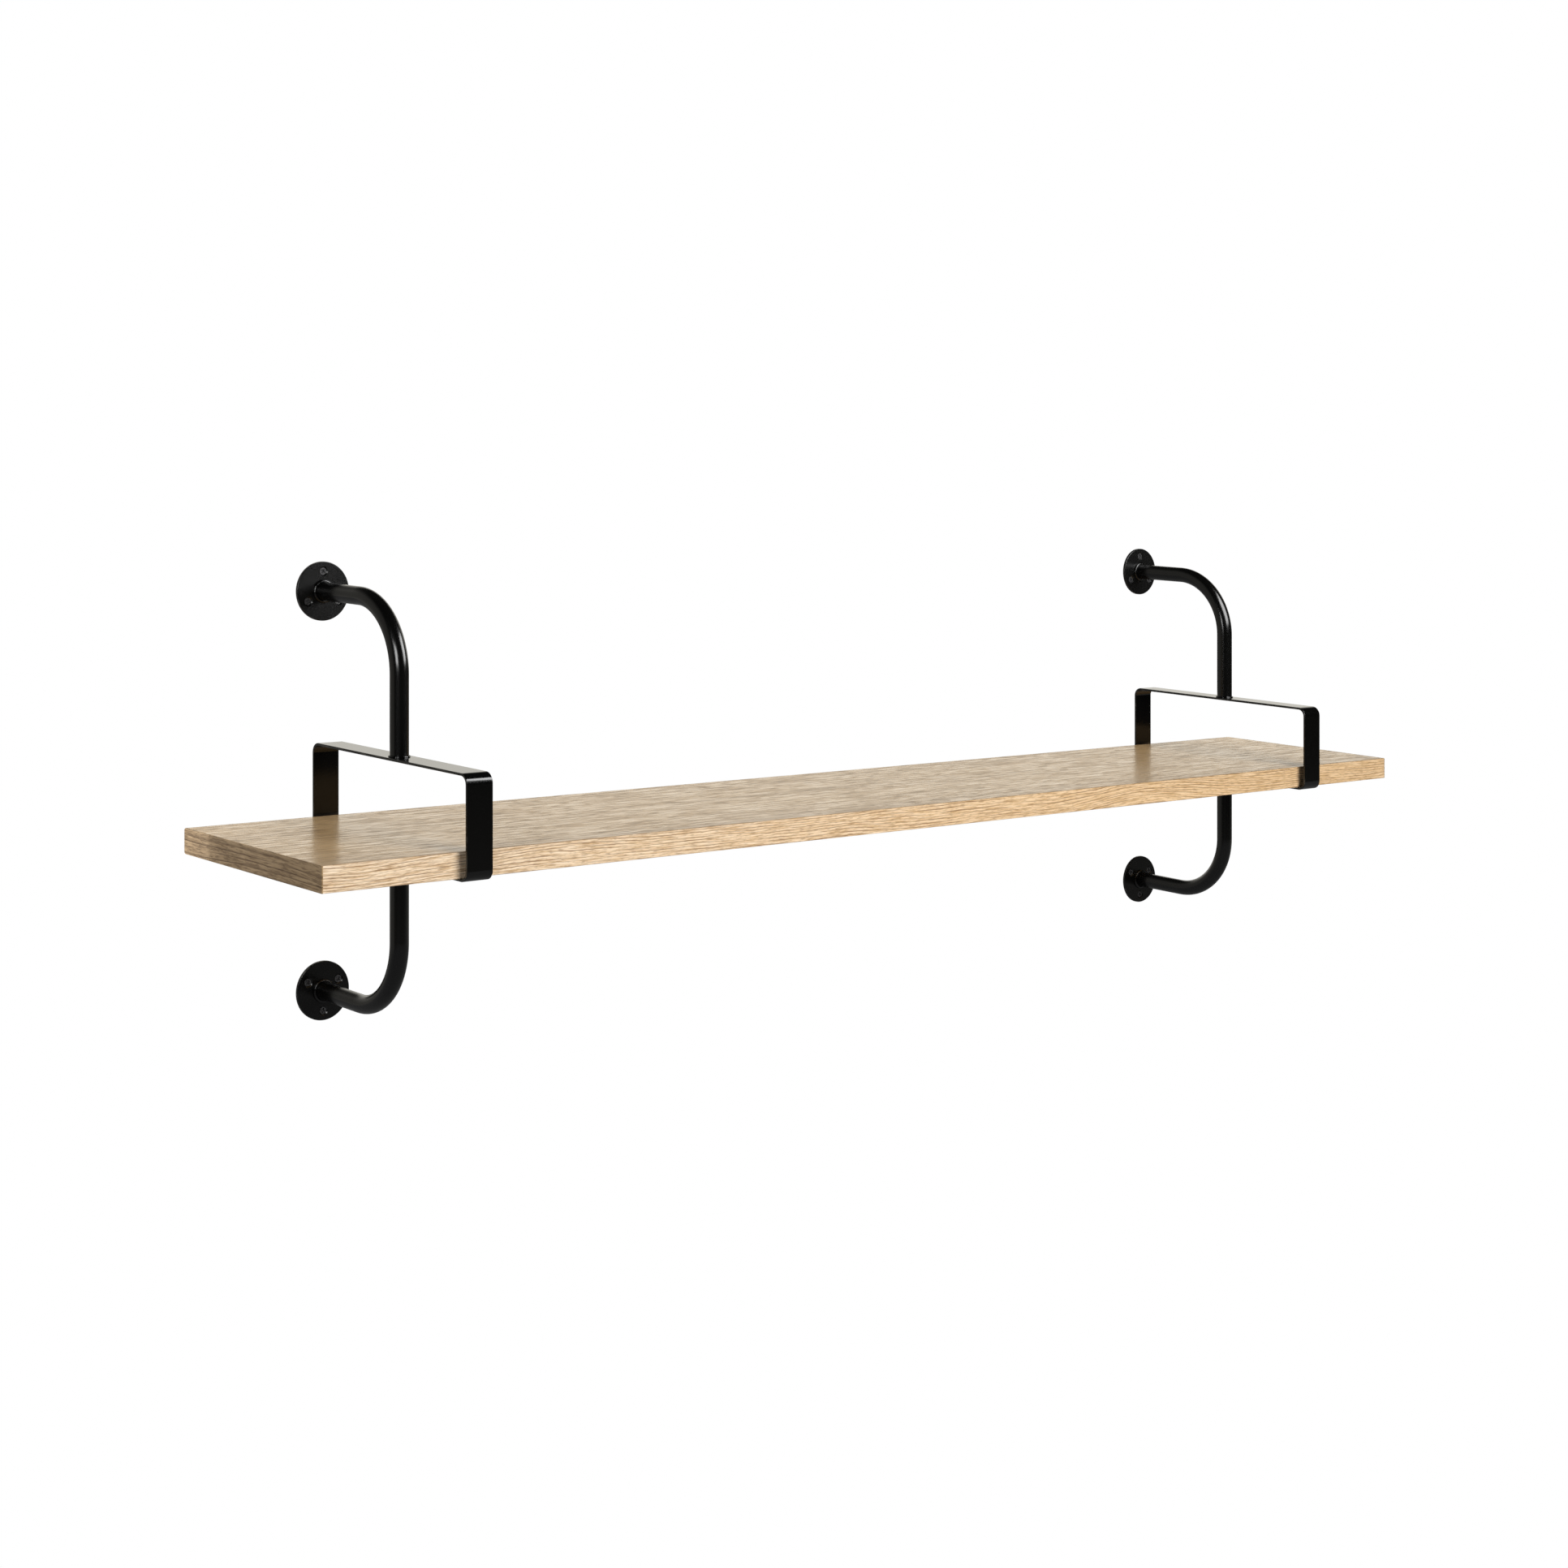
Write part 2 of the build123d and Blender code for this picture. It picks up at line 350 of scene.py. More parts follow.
def sheet_of_stage(name, corners, material):
    """One flat rectangle of the studio, which isn't part of the shelf."""
    mesh = bpy.data.meshes.new(name)
    mesh.from_pydata(corners, [], [(0, 1, 2, 3)])
    mesh.materials.append(material)
    flat = bpy.data.objects.new(name, mesh)
    scene.collection.objects.link(flat)
    return flat


paper, tree = new_finish("floor_paper")
x, y, z = tree.place()
faraway = (x * x + y * y).ease(0.5, 2.1)
seen, mirrored = camera_and_mirrors(tree)
lit = tree.node("ShaderNodeBsdfPrincipled", None, {"Base Color": (0.8, 0.8, 0.8, 1), "Roughness": 0.9})
brightness = seen.at_least(PAPER_IN_MIRRORS)
white = tree.node("ShaderNodeEmission", None, {"Color": (1, 1, 1, 1), "Strength": brightness})
share_of_white = mirrored.at_least(seen * (WHITE_NEAR_BY + (1.0 - WHITE_NEAR_BY) * faraway))
surface = tree.node("ShaderNodeMixShader", None, {0: share_of_white, 1: lit, 2: white})
tree.node("ShaderNodeOutputMaterial", None, {"Surface": surface})
square = [(-1, -1), (1, -1), (1, 1), (-1, 1)]
sheet_of_stage("floor", [(x * STAGE_REACH, y * STAGE_REACH, FLOOR_LEVEL) for x, y in square], paper)
print("floor at", FLOOR_LEVEL, "m")

# %% [markdown]
# The wall itself is only a picture of white. It hides the screws that go into it, but only from the room:
# from behind it is clear, so that the backs of the plates can be looked at. It neither lights nor shades
# anything.

# %% Wall
BEHIND_PLATES = 0.0015

plaster, tree = new_finish("white_wall")
from_behind = tree.node("ShaderNodeNewGeometry", out="Backfacing")
white = tree.node("ShaderNodeEmission", None, {"Color": (1, 1, 1, 1), "Strength": 1.0})
clear = tree.node("ShaderNodeBsdfTransparent")
surface = tree.node("ShaderNodeMixShader", None, {0: from_behind, 1: white, 2: clear})
tree.node("ShaderNodeOutputMaterial", None, {"Surface": surface})
upright = [(-1, FLOOR_LEVEL), (1, FLOOR_LEVEL), (1, STAGE_REACH / 2), (-1, STAGE_REACH / 2)]
wall = sheet_of_stage("wall", [(x * STAGE_REACH, BEHIND_PLATES, z) for x, z in upright], plaster)
wall.visible_diffuse = wall.visible_glossy = wall.visible_transmission = wall.visible_shadow = False
print("wall faces", tuple(wall.data.polygons[0].normal))

# %% [markdown]
# ## Oak
# Oak shows four things at once: growth rings, which are broad bands with one sharp side, long streaks
# between them, shorter dark dashes that gather along the dark streaks, and pores, which are the finest
# lines of all. A picture of wood would be quick, but it would stretch over the narrow edges and repeat.
# Here each is worked out from the place on the board instead. The grain line that a point lies on is its
# distance across the grain plus a slow sway and a quick ripple, so all four follow the same wavy lines.
# Streaks and dashes are given as the length and width of one of them.

# %% Oak grain
BOARD_FRONT = -0.2646
BOARD_TOP = -0.0221
BOARD_BOTTOM = -0.0465


class Grain:
    """Rings, streaks, dashes and pores along one direction of the board.

    In metres: sway and ripple say how far the lines wander, ring is the ring spacing, streak and dash are
    each a length and a width, and swell lifts the lines. late is the dark share of a ring.
    """

    def __init__(self, tree, along, across, seed, sway, ripple, ring, late, streak, dash, swell=0.0):
        self.tree = tree
        slow = tree.clouds(along * 3.0, across * 10.0, seed, 2.0) - 0.5
        quick = tree.clouds(along * 12.0, across * 60.0, seed + 3.0, 2.0, 0.4) - 0.5
        self.line = across + swell + slow * sway + quick * ripple
        count = self.line / ring + 2.4 * tree.clouds(along * 2.0, self.line * 50.0, seed + 5.0)
        inside = count % 1.0
        own = tree.clouds(count.floor() * 1.7, along * 14.0, seed + 7.0, 1.0).ease(0.32, 0.58)
        self.rings = (1.0 - inside.ease(0.0, late)) * inside.ease(0.0, 0.06) * own
        self.streaks = tree.clouds(along / streak[0], self.line / streak[1], seed + 11.0, 3.0, 0.6)
        fine = tree.clouds(along / dash[0], self.line / dash[1], seed + 13.0, 2.0)
        self.dashes = fine + 0.5 * (0.5 - self.streaks)
        self.pores = tree.clouds(along * 110.0, self.line * 2600.0, seed + 17.0, 1.0).ease(0.60, 0.70)
        self.pores = self.pores * (0.35 + 0.65 * self.rings)

    def colour(self, pale, middle, dark, contrast, dashed):
        """Wood from pale to dark; contrast and dashed say how strongly rings and dashes show."""
        body = self.tree.blend(self.streaks.ease(0.32, 0.68), middle, pale)
        flecked = self.tree.blend(self.dashes.ease(0.50, 0.62) * dashed, body, dark)
        ringed = self.tree.blend(self.rings * contrast, flecked, dark)
        return self.tree.blend(self.pores * 0.55, ringed, tuple(0.55 * c for c in dark))

    def height(self):
        return 0.8 - 0.6 * self.pores - 0.15 * self.rings + 0.15 * self.streaks


print("grain is worked out in metres, along and across")

# %% [markdown]
# The faces are straight-grained veneer under a satin lacquer. Seen at a low angle the lacquer mirrors the
# white wall, which is why the top looks greyer than the edge: the grey is in the gloss and not in the
# colour. The lacquer sinks into the open, dark grain and stands on the dense, pale wood. So it is a coat
# whose weight follows the grain, and the grain still shows where the mirror image is strong.

# %% Oak faces
DARKER_PLANK = {"pale": (0.66, 0.435, 0.21), "middle": (0.48, 0.305, 0.135), "dark": (0.19, 0.11, 0.045)}
PALER_PLANK = {"pale": (0.72, 0.485, 0.24), "middle": (0.54, 0.35, 0.165), "dark": (0.23, 0.14, 0.06)}
DARKER_FRONT_OAK = (0.27, 0.16, 0.07)

oak_face, tree = new_finish("oak_face")
x, y, z = tree.place()
grain = Grain(
    tree, along=x, across=y, seed=1.0, sway=0.012, ripple=0.002, ring=0.012, late=0.45,
    streak=(0.08, 0.0055), dash=(0.020, 0.0024),
)
broad = tree.clouds(x * 1.1, grain.line * 14.0, 31.0, 2.0)
plank = tree.blend(
    broad.ease(0.3, 0.7),
    grain.colour(contrast=0.5, dashed=0.7, **DARKER_PLANK),
    grain.colour(contrast=0.45, dashed=0.65, **PALER_PLANK),
)
# The top is darker in patches along its front edge.
near_front = (BOARD_FRONT - y).ease(-0.03, -0.006)
darker_front = near_front * tree.clouds(x * 2.0, y * 90.0, 37.0, 2.0).ease(0.42, 0.6)
lacquer = grain.streaks.ease(0.28, 0.68) * (1.0 - grain.dashes.ease(0.46, 0.58)) * (1.0 - 0.7 * grain.rings)
close_finish(
    tree,
    Base_Color=tree.blend(darker_front * 0.4, plank, DARKER_FRONT_OAK),
    Roughness=0.32 + 0.12 * grain.pores + 0.06 * tree.clouds(x * 6.0, y * 6.0, 41.0),
    Normal=tree.relief(grain.height(), 0.00008),
    Specular_IOR_Level=0.2,
    Coat_Weight=0.10 + 0.90 * lacquer,
    Coat_Roughness=0.20,
)
print("oak faces have", len(oak_face.node_tree.nodes), "nodes")

# %% [markdown]
# The long edges carry a paler strip whose grain swings up and down, with one broad arch towards the
# right. The strip is the faces' own veneer, so its extra paleness is painted light, matched on the front
# edge, which faces the key lamp. Only the sizes and colours change, so the same Grain serves again,
# turned to run along X and across Z. The strip gets warmer towards the right, both corners are a little
# rubbed, and its narrow upper side is darker.

# %% Oak edges
ARCH_PLACE = 0.33
ARCH_REACH = 0.17
ARCH_HEIGHT = 0.011
# Both strips are paler than the faces' veneer, which they are: that extra paleness is painted light.
LIT_PALE_STRIP = {"pale": (0.93, 0.76, 0.565), "middle": (0.72, 0.505, 0.295), "dark": (0.20, 0.095, 0.035)}
LIT_WARM_STRIP = {"pale": (0.89, 0.645, 0.395), "middle": (0.705, 0.46, 0.225), "dark": (0.20, 0.095, 0.035)}
DARKER_STRIP = (0.40, 0.26, 0.14)


def rubbed_corners(tree, along, z, seed):
    """Patches on the upper and lower corner of a strip, where hands and cloths have rubbed it."""
    from_middle = abs(z - (BOARD_TOP + BOARD_BOTTOM) / 2)
    return from_middle.ease(0.0112, 0.0121) * tree.clouds(along * 70.0, z * 200.0, seed, 3.0).ease(0.4, 0.6)


oak_edge, tree = new_finish("oak_edge")
x, y, z = tree.place()
arch = (1.0 - ((x - ARCH_PLACE) / ARCH_REACH) ** 2.0).at_least(0.0) ** 2.0
grain = Grain(
    tree, along=x, across=z, seed=51.0, sway=0.016, ripple=0.005, ring=0.0029, late=0.42,
    streak=(0.028, 0.0014), dash=(0.0093, 0.0007), swell=arch * -ARCH_HEIGHT,
)
on_left = grain.colour(contrast=1.0, dashed=0.45, **LIT_PALE_STRIP)
on_right = grain.colour(contrast=1.0, dashed=0.4, **LIT_WARM_STRIP)
strip = tree.blend(x.ease(-0.75, 0.5), on_left, on_right)
rubbed = rubbed_corners(tree, x, z, seed=57.0)
# Darker on the strip's narrow upper side.
on_top = (z - BOARD_TOP).ease(-0.0006, -0.0001)
close_finish(
    tree,
    Base_Color=tree.blend((rubbed * 0.35).at_least(on_top), strip, DARKER_STRIP),
    Roughness=0.42 + 0.12 * grain.pores + 0.08 * (grain.streaks - 0.5),
    Normal=tree.relief(grain.height(), 0.00007),
)
print("oak edges have", len(oak_edge.node_tree.nodes), "nodes")

# %% [markdown]
# The short ends have their own strip, with the grain running from front to back in wavy dark lines. Its
# colours are darker than the long edges': partly the strip's own tone and partly painted shade, for ends
# that the key lamp doesn't reach. The place along X is added to the seed, so the left and the right end
# aren't twins.

# %% Oak ends
# Darker than the long edges' strip: partly its own tone, partly painted shade on the ends.
SHADED_END_STRIP = {"pale": (0.52, 0.36, 0.20), "middle": (0.38, 0.25, 0.13), "dark": (0.13, 0.075, 0.035)}
RUBBED_STRIP = (0.60, 0.44, 0.28)

oak_end, tree = new_finish("oak_end")
x, y, z = tree.place()
grain = Grain(
    tree, along=y, across=z, seed=71.0 + x, sway=0.014, ripple=0.003, ring=0.0052, late=0.5,
    streak=(0.031, 0.0022), dash=(0.0103, 0.0011),
)
strip = grain.colour(contrast=0.9, dashed=0.5, **SHADED_END_STRIP)
rubbed = rubbed_corners(tree, y, z, seed=77.0)
close_finish(
    tree,
    Base_Color=tree.blend(rubbed * 0.3, strip, RUBBED_STRIP),
    Roughness=0.50 + 0.12 * grain.pores + 0.08 * (grain.streaks - 0.5),
    Normal=tree.relief(grain.height(), 0.00008),
    Specular_IOR_Level=0.3,
)
print("oak ends have", len(oak_end.node_tree.nodes), "nodes")

# %% [markdown]
# ## The core
# Under the veneer the board is pressed from wood chips. It doesn't show on a finished board, but a cut
# through the model would. Chips are cells, squashed flat, each with its own brown.

# %% Chipboard
BROWN_CHIP = (0.34, 0.22, 0.12)
PALE_CHIP = (0.60, 0.44, 0.26)
DARK_GLUE = (0.20, 0.12, 0.06)

chipboard, tree = new_finish("chipboard")
x, y, z = tree.place()
chip_place = tree.vector(x * 160.0, y * 160.0, z * 700.0)
chip_sockets = {"Vector": chip_place, "Scale": 1.0}
chip_colour, chip_edge = [
    tree.node("ShaderNodeTexVoronoi", {"voronoi_dimensions": "3D"}, chip_sockets, out=kind)
    for kind in ("Color", "Distance")
]
chip_tone = tree.node("ShaderNodeSeparateColor", None, {"Color": chip_colour})
glue = chip_edge.ease(0.45, 0.75)
chips = tree.blend(chip_tone, BROWN_CHIP, PALE_CHIP)
close_finish(
    tree,
    Base_Color=tree.blend(glue, chips, DARK_GLUE),
    Roughness=0.75 + 0.15 * glue,
    Normal=tree.relief(1.0 - glue, 0.0002),
)
print("chipboard has", len(chipboard.node_tree.nodes), "nodes")

# %% [markdown]
# ## Black paint
# The steel is powder-coated: the powder melts into a skin that is black, half glossy and never quite
# flat. Fine dimples break up its highlights, and broad patches are a shade duller. One paint for
# everything would be simpler, but the straps and welds shine more than the tubes, and the plates less, so
# each kind gets its own dullness. On sharp edges the skin is thin and a little worn, so straps and plates
# each say where their edge is.

# %% Black paint
BRACKET_OFFSET = 0.594
STRAP_HALF_WIDTH = 0.014
PLATE_RADIUS = 0.029
PLATE_OFFSET = 0.1955
DEEP_BLACK = (0.0016, 0.0016, 0.0015)
BLACK_SPECK = (0.006, 0.006, 0.0055)
WORN_BLACK = (0.045, 0.043, 0.04)


def black_paint(name, dullness, edge_of=None):
    """Powder coat, worn where edge_of, worked out from the place, goes to 1."""
    material, tree = new_finish(name)
    place = tree.place()
    dimples = tree.grit(place, 620.0, detail=2.0)
    patches = tree.grit(place, 24.0, detail=3.0)
    specks = tree.grit(place, 1500.0, detail=0.0).ease(0.76, 0.86)
    paint = tree.blend(specks, DEEP_BLACK, BLACK_SPECK)
    if edge_of:
        worn = edge_of(*place) * tree.grit(place, 90.0, detail=3.0).ease(0.52, 0.68)
        paint = tree.blend(worn * 0.6, paint, WORN_BLACK)
    close_finish(
        tree,
        Base_Color=paint,
        Roughness=dullness + 0.06 * patches + 0.05 * specks,
        Normal=tree.relief(dimples, 0.000002),
    )
    return material


def strap_edge(x, y, z):
    """1 on the two long edges of a strap."""
    return abs(abs(x) - BRACKET_OFFSET).ease(STRAP_HALF_WIDTH - 0.0007, STRAP_HALF_WIDTH - 0.0001)


def plate_edge(x, y, z):
    """1 on the rim of a round plate."""
    sideways = abs(x) - BRACKET_OFFSET
    upward = abs(z) - PLATE_OFFSET
    return ((sideways * sideways + upward * upward) ** 0.5).ease(PLATE_RADIUS - 0.0008, PLATE_RADIUS - 0.0002)


tube_paint = black_paint("tube_paint", dullness=0.17)
strap_paint = black_paint("strap_paint", dullness=0.09, edge_of=strap_edge)
plate_paint = black_paint("plate_paint", dullness=0.24, edge_of=plate_edge)
weld_paint = black_paint("weld_paint", dullness=0.10)
print("black paint for tubes, straps, plates and welds")

# %% [markdown]
# The screws are blackened steel. Under the thin black the metal still shines, most of all where the
# driver and the thread have rubbed it.

# %% Blackened screws
BLACKENED = (0.038, 0.038, 0.040)
RUBBED_STEEL = (0.15, 0.145, 0.14)

black_screw, tree = new_finish("black_screw")
place = tree.place()
rubbed = tree.grit(place, 900.0, detail=3.0).ease(0.5, 0.72)
close_finish(
    tree,
    Base_Color=tree.blend(rubbed, BLACKENED, RUBBED_STEEL),
    Roughness=0.42 - 0.14 * rubbed,
    Metallic=0.15 + 0.75 * rubbed,
    Normal=tree.relief(tree.grit(place, 2200.0, detail=2.0), 0.000015),
)
print("screw finish has", len(black_screw.node_tree.nodes), "nodes")

# %% [markdown]
# ## Dressing the CAD pieces
# Boards, straps, tubes and plates keep their CAD meshes, which are already exact. They only get their
# finish.

# %% Dress the CAD pieces
DRESS = {
    "veneer": oak_face,
    "edge_band": oak_edge,
    "end_band": oak_end,
    "core": chipboard,
    "strap_loop": strap_paint,
    "tube": tube_paint,
    "flange": plate_paint,
    "weld": weld_paint,
    "screws": black_screw,
}
for name, node in nodes.items():
    finish = next(material for ending, material in DRESS.items() if name.endswith(ending))
    node.data.materials.clear()
    node.data.materials.append(finish)
print("dressed", len(nodes), "pieces with", len(DRESS), "finishes")

# %% [markdown]
# Seen from behind, the lacquer would mirror the streak lamps as one white glare. A photographer would
# hold a card between lamp and board. Light linking is that card: a collection names the pieces that a
# lamp leaves out.

# %% A card before the streak lamps
BOARD_FINISHES = (oak_face, oak_edge, oak_end, chipboard)

carded = bpy.data.collections.new("kept_from_streak_lamps")
for node in nodes.values():
    if node.data.materials[0] in BOARD_FINISHES:
        carded.objects.link(node)
for member in carded.collection_objects:
    member.light_linking.link_state = "EXCLUDE"
for lamp in (right_streak, left_streak):
    lamp.light_linking.receiver_collection = carded

# %% [markdown]
# ## Weld ripples
# Each tube is welded to its plate and to its strap, and a weld is laid down as a row of small overlapping
# waves. The CAD bead is smooth. Geometry Nodes can make the real one from a rule: take a flat grid, roll
# it into a ring, and let the ring's thickness rise and fall with the angle. The sizes are inputs, so the
# same tree makes both kinds of bead.


# %% A rule and how to grow it
SOCKET_KINDS = {float: "NodeSocketFloat", int: "NodeSocketInt", tuple: "NodeSocketVector"}
SEAM = 0.000001


def new_rule(name, sizes):
    """A Geometry Nodes tree with these named inputs and a material, as (group, tree, input tones)."""
    group = bpy.data.node_groups.new(name, "GeometryNodeTree")
    group.interface.new_socket("Piece", in_out="OUTPUT", socket_type="NodeSocketGeometry")
    for label, kind in sizes.items():
        group.interface.new_socket(label, in_out="INPUT", socket_type=SOCKET_KINDS[kind])
    group.interface.new_socket("Finish", in_out="INPUT", socket_type="NodeSocketMaterial")
    tree = Tree(group)
    labels = [*sizes, "Finish"]
    return group, tree, {label: tree.node("NodeGroupInput", out=place) for place, label in enumerate(labels)}


def grid_parts(tree):
    """Two tones that go from 0 to 1 along and across a grid with sides of 1."""
    return [side + 0.5 for side in tree.parts(tree.node("GeometryNodeInputPosition"), "XY")]


def roll(tree, grid, angle, radius, height):
    """The grid rolled into a ring or a tube, with its seam and poles closed."""
    place = tree.vector(radius * angle.cosine(), radius * angle.sine(), height)
    rolled = tree.node("GeometryNodeSetPosition", None, {"Geometry": grid, "Position": place})
    return tree.node("GeometryNodeMergeByDistance", None, {"Geometry": rolled, "Distance": SEAM})


def close_rule(tree, shape, size):
    """Turns and moves the shape to its seat, then ends the tree."""
    turn = tree.node("FunctionNodeEulerToRotation", None, {"Euler": size["Turn"]})
    moves = {"Geometry": shape, "Translation": size["Seat"], "Rotation": turn}
    seated = tree.node("GeometryNodeTransform", None, moves)
    whole = tree.node("GeometryNodeRealizeInstances", None, {"Geometry": seated})
    painted = tree.node("GeometryNodeSetMaterial", None, {"Geometry": whole, "Material": size["Finish"]})
    tree.node("NodeGroupOutput", None, {"Piece": painted})


def grow(group, name, finish, **sizes):
    """One piece from a rule, as a plain mesh with no modifier left on it."""
    seed_mesh = bpy.data.objects.new(name + "_rule", bpy.data.meshes.new(name + "_rule"))
    scene.collection.objects.link(seed_mesh)
    rule = seed_mesh.modifiers.new("rule", "NODES")
    rule.node_group = group
    values = {label.replace("_", " "): value for label, value in sizes.items()} | {"Finish": finish}
    for item in group.interface.items_tree:
        if item.in_out == "INPUT":
            rule[item.identifier] = values[item.name]
    grown = seed_mesh.evaluated_get(bpy.context.evaluated_depsgraph_get())
    piece = bpy.data.objects.new(name, bpy.data.meshes.new_from_object(grown))
    piece.data.name = name
    bpy.data.objects.remove(seed_mesh)
    scene.collection.objects.link(piece)
    return piece


def hand_over(piece):
    """The piece stands for the CAD node whose name it begins with."""
    node = piece.name.removesuffix("_detailed")
    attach(piece, "root")
    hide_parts(node)
    return len(piece.data.polygons)


print("rules grow into plain meshes")

# %% [markdown]
# Now the bead's own rule. One side of the grid becomes the way round the tube, and the other the way
# round the bead. A ring could be sculpted instead, but in a rule the leg of the bead, the number of
# ripples and their height are values that can be changed one at a time.

# %% Weld rule
TUBE_RADIUS = 0.009
RIPPLES = 34
STEPS_PER_RIPPLE = 8
BEAD_STEPS = 14
BEAD_CENTRE = 0.25  # this and the next three are shares of the bead's leg
BEAD_BODY = 0.53
RIPPLE_HEIGHT = 0.04
BEAD_WANDER = 0.22

weld_rule, tree, size = new_rule(
    "weld_bead",
    {"Tube Radius": float, "Leg": float, "Ripples": int, "Wander": float, "Seat": tuple, "Turn": tuple},
)
steps_round = size["Ripples"] * STEPS_PER_RIPPLE
grid_sizes = {"Size X": 1.0, "Size Y": 1.0, "Vertices X": steps_round + 1, "Vertices Y": BEAD_STEPS + 1}
grid = tree.node("GeometryNodeMeshGrid", None, grid_sizes)
part_round, part_bead = grid_parts(tree)
angle = part_round * math.tau
turn = part_bead * math.tau
wave = abs((angle * size["Ripples"] * 0.5 + 0.7 * (turn - math.pi / 4).cosine()).sine()) ** 0.6
wander = tree.clouds(angle.cosine() * 1.6, angle.sine() * 1.6, size["Wander"], 2.0) - 0.5
thick = size["Leg"] * (BEAD_BODY + RIPPLE_HEIGHT * wave + BEAD_WANDER * wander)
reach = size["Tube Radius"] + BEAD_CENTRE * size["Leg"] + thick * turn.cosine()
rise = BEAD_CENTRE * size["Leg"] + thick * turn.sine()
closed = roll(tree, grid, angle, radius=reach, height=rise)
smooth = tree.node("GeometryNodeSetShadeSmooth", None, {"Geometry": closed, "Shade Smooth": True})
close_rule(tree, smooth, size)
print("weld rule has", len(weld_rule.nodes), "nodes")

# %% [markdown]
# The rule is grown eight times, at both ends of each tube. A bead on a plate faces the room, and one on a
# strap faces up or down. Each gets a wander of its own, because a hand-laid bead is never twice the same.

# %% Grow the welds
PLATE_FRONT = -0.003
TUBE_STANDOFF = -0.141
STRAP_HALF_HEIGHT = 0.049
FLANGE_LEG = 0.0032
STRAP_LEG = 0.0018
SIDES = {"left": -BRACKET_OFFSET, "right": BRACKET_OFFSET}
ARMS = {"upper": 1, "lower": -1}
FACING_ROOM = (math.pi / 2, 0.0, 0.0)
FACING_DOWN = (math.pi, 0.0, 0.0)
FACING_UP = (0.0, 0.0, 0.0)

faces = 0
for side, x in SIDES.items():
    for arm, way in ARMS.items():
        plate_seat = (x, PLATE_FRONT, way * PLATE_OFFSET)
        strap_seat = (x, TUBE_STANDOFF, way * STRAP_HALF_HEIGHT)
        strap_turn = FACING_UP if way > 0 else FACING_DOWN
        for kind, leg, seat, turn in (
            ("flange", FLANGE_LEG, plate_seat, FACING_ROOM),
            ("strap", STRAP_LEG, strap_seat, strap_turn),
        ):
            bead = grow(
                weld_rule,
                f"{side}_{arm}_{kind}_weld_detailed",
                weld_paint,
                Tube_Radius=TUBE_RADIUS,
                Leg=leg,
                Ripples=RIPPLES,
                Wander=10.0 * x + 3.0 * way + 100.0 * leg,
                Seat=seat,
                Turn=turn,
            )
            faces += hand_over(bead)
print("eight weld beads with", faces, "faces")

# %% [markdown]
# ## Screws
# A screw is a rule as well. Roll a grid into a tube again, but let the radius depend on how deep the
# point lies: a head at the top, a thread that climbs as the angle turns, and a point at the end. The
# cross recess is cut out with two blocks. Points on a circle then carry copies of the finished screw,
# each turned by its own seeded amount, because nobody drives two screws to the same angle.

# %% Screw rule
DOME_DROP = 0.72
DOME_ROUNDNESS = 2.6
HEAD_OVERLAP = 1.02
THREAD_VALLEY = 0.45

screw_rule, tree, size = new_rule(
    "screws",
    {
        "Length": float,
        "Head Radius": float,
        "Head Height": float,
        "Domed": float,
        "Neck Radius": float,
        "Neck End": float,
        "Core Radius": float,
        "Thread Radius": float,
        "Pitch": float,
        "Tip": float,
        "Recess Span": float,
        "Recess Width": float,
        "Recess Depth": float,
        "Facets": int,
        "Rows": int,
        "Count": int,
        "Circle": float,
        "First Angle": float,
        "Seed": int,
        "Seat": tuple,
        "Turn": tuple,
    },
)
grid_sizes = {"Size X": 1.0, "Size Y": 1.0, "Vertices X": size["Facets"] + 1, "Vertices Y": size["Rows"] + 2}
grid = tree.node("GeometryNodeMeshGrid", None, grid_sizes)
part_round, part_down = grid_parts(tree)
angle = part_round * math.tau
row = part_down * (size["Rows"] + 1)
depth = (row - 1.0).at_least(0.0) * size["Length"] / size["Rows"]

sunk_head = size["Head Radius"] - (depth - size["Head Height"]).at_least(0.0)
above_seat = (1.0 - depth / size["Head Height"]).at_least(0.0)
dome = 1.0 - DOME_DROP * above_seat ** DOME_ROUNDNESS
dome_head = size["Head Radius"] * dome * (size["Head Height"] * HEAD_OVERLAP > depth)
head = sunk_head + size["Domed"] * (dome_head - sunk_head)

crest = abs((depth / size["Pitch"] - part_round) % 1.0 - 0.5) * 2.0
ridge = ((crest - THREAD_VALLEY) / (1.0 - THREAD_VALLEY)).at_least(0.0)
thread = size["Core Radius"] + (size["Thread Radius"] - size["Core Radius"]) * ridge
shank = size["Neck Radius"] + (depth > size["Neck End"]) * (thread - size["Neck Radius"])
point = (size["Length"] - depth) * size["Thread Radius"] / size["Tip"]
radius = head.at_least(shank).at_most(point.at_least(0.0)) * row.at_most(1.0)
print("screw rule: the radius is worked out")

# %% [markdown]
# The cross could be modelled into the head face by face, but cutting it is simpler: two crossed blocks
# are taken away from the closed shape. Its sharp corners are then marked, so that smooth shading stops
# there, and the copies are set on their circle.

# %% Cut, copy and turn the screws
SHARP_CORNER = 0.5

